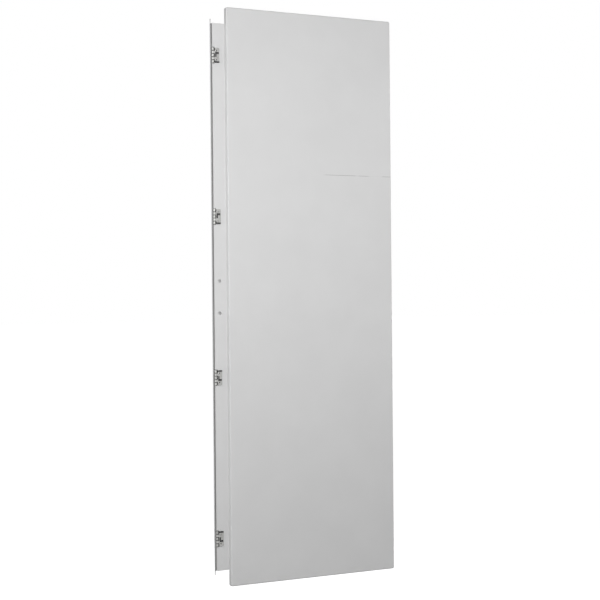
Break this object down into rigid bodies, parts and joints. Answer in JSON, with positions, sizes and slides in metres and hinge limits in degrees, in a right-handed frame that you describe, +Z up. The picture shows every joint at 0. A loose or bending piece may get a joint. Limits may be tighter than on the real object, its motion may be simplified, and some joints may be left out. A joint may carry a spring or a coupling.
{
  "type": "sheet-steel cabinet door with hinge rail",
  "caption": "Tall plain light grey folded sheet-steel cabinet door with a set-back hinge flange, small knuckle hinges and the fixed rail it swings on.",
  "frame": {"origin": "on the back face of the hinge rail's front leg, at the rail's middle in width and height", "axes": "+X to the right seen from the front, +Y to the back into the cabinet, +Z up"},
  "size_m": [0.644, 0.051, 1.8],
  "materials": {
    "paint": "light grey fine-textured powder coat",
    "galvanised": "zinc-coated sheet steel",
    "zinc": "zinc-plated",
    "steel_pin": "bright steel",
    "black_plastic": "matt black polyamide",
    "rubber": "matt dark grey foam rubber",
    "copper_plate": "copper-plated steel stud"
  },
  "bodies": {
    "rail": {"hinge_rail": "paint", "rubber_strip": "rubber", "hinge_base_1": "zinc", "hinge_base_2": "zinc", "hinge_base_3": "zinc", "hinge_base_4": "zinc", "hinge_pin_1": "steel_pin", "hinge_pin_2": "steel_pin", "hinge_pin_3": "steel_pin", "hinge_pin_4": "steel_pin", "hinge_washers_1": "black_plastic", "hinge_washers_2": "black_plastic", "hinge_washers_3": "black_plastic", "hinge_washers_4": "black_plastic"},
    "leaf": {"leaf_tray": "paint", "hinge_stile": "paint", "stiffener_1": "galvanised", "stiffener_2": "galvanised", "earth_stud": "copper_plate", "hinge_plate_1": "zinc", "hinge_plate_2": "zinc", "hinge_plate_3": "zinc", "hinge_plate_4": "zinc", "hinge_clip_1": "black_plastic", "hinge_clip_2": "black_plastic", "hinge_clip_3": "black_plastic", "hinge_clip_4": "black_plastic", "hinge_pad_1": "black_plastic", "hinge_pad_2": "black_plastic", "hinge_pad_3": "black_plastic", "hinge_pad_4": "black_plastic"}
  },
  "joints": [
    {"name": "leaf_swing", "type": "hinge", "parent": "rail", "child": "leaf", "pos_m": [-0.0135, -0.0125, 0], "axis": [0, 0, -1], "range_deg": [0, 130]}
  ]
}
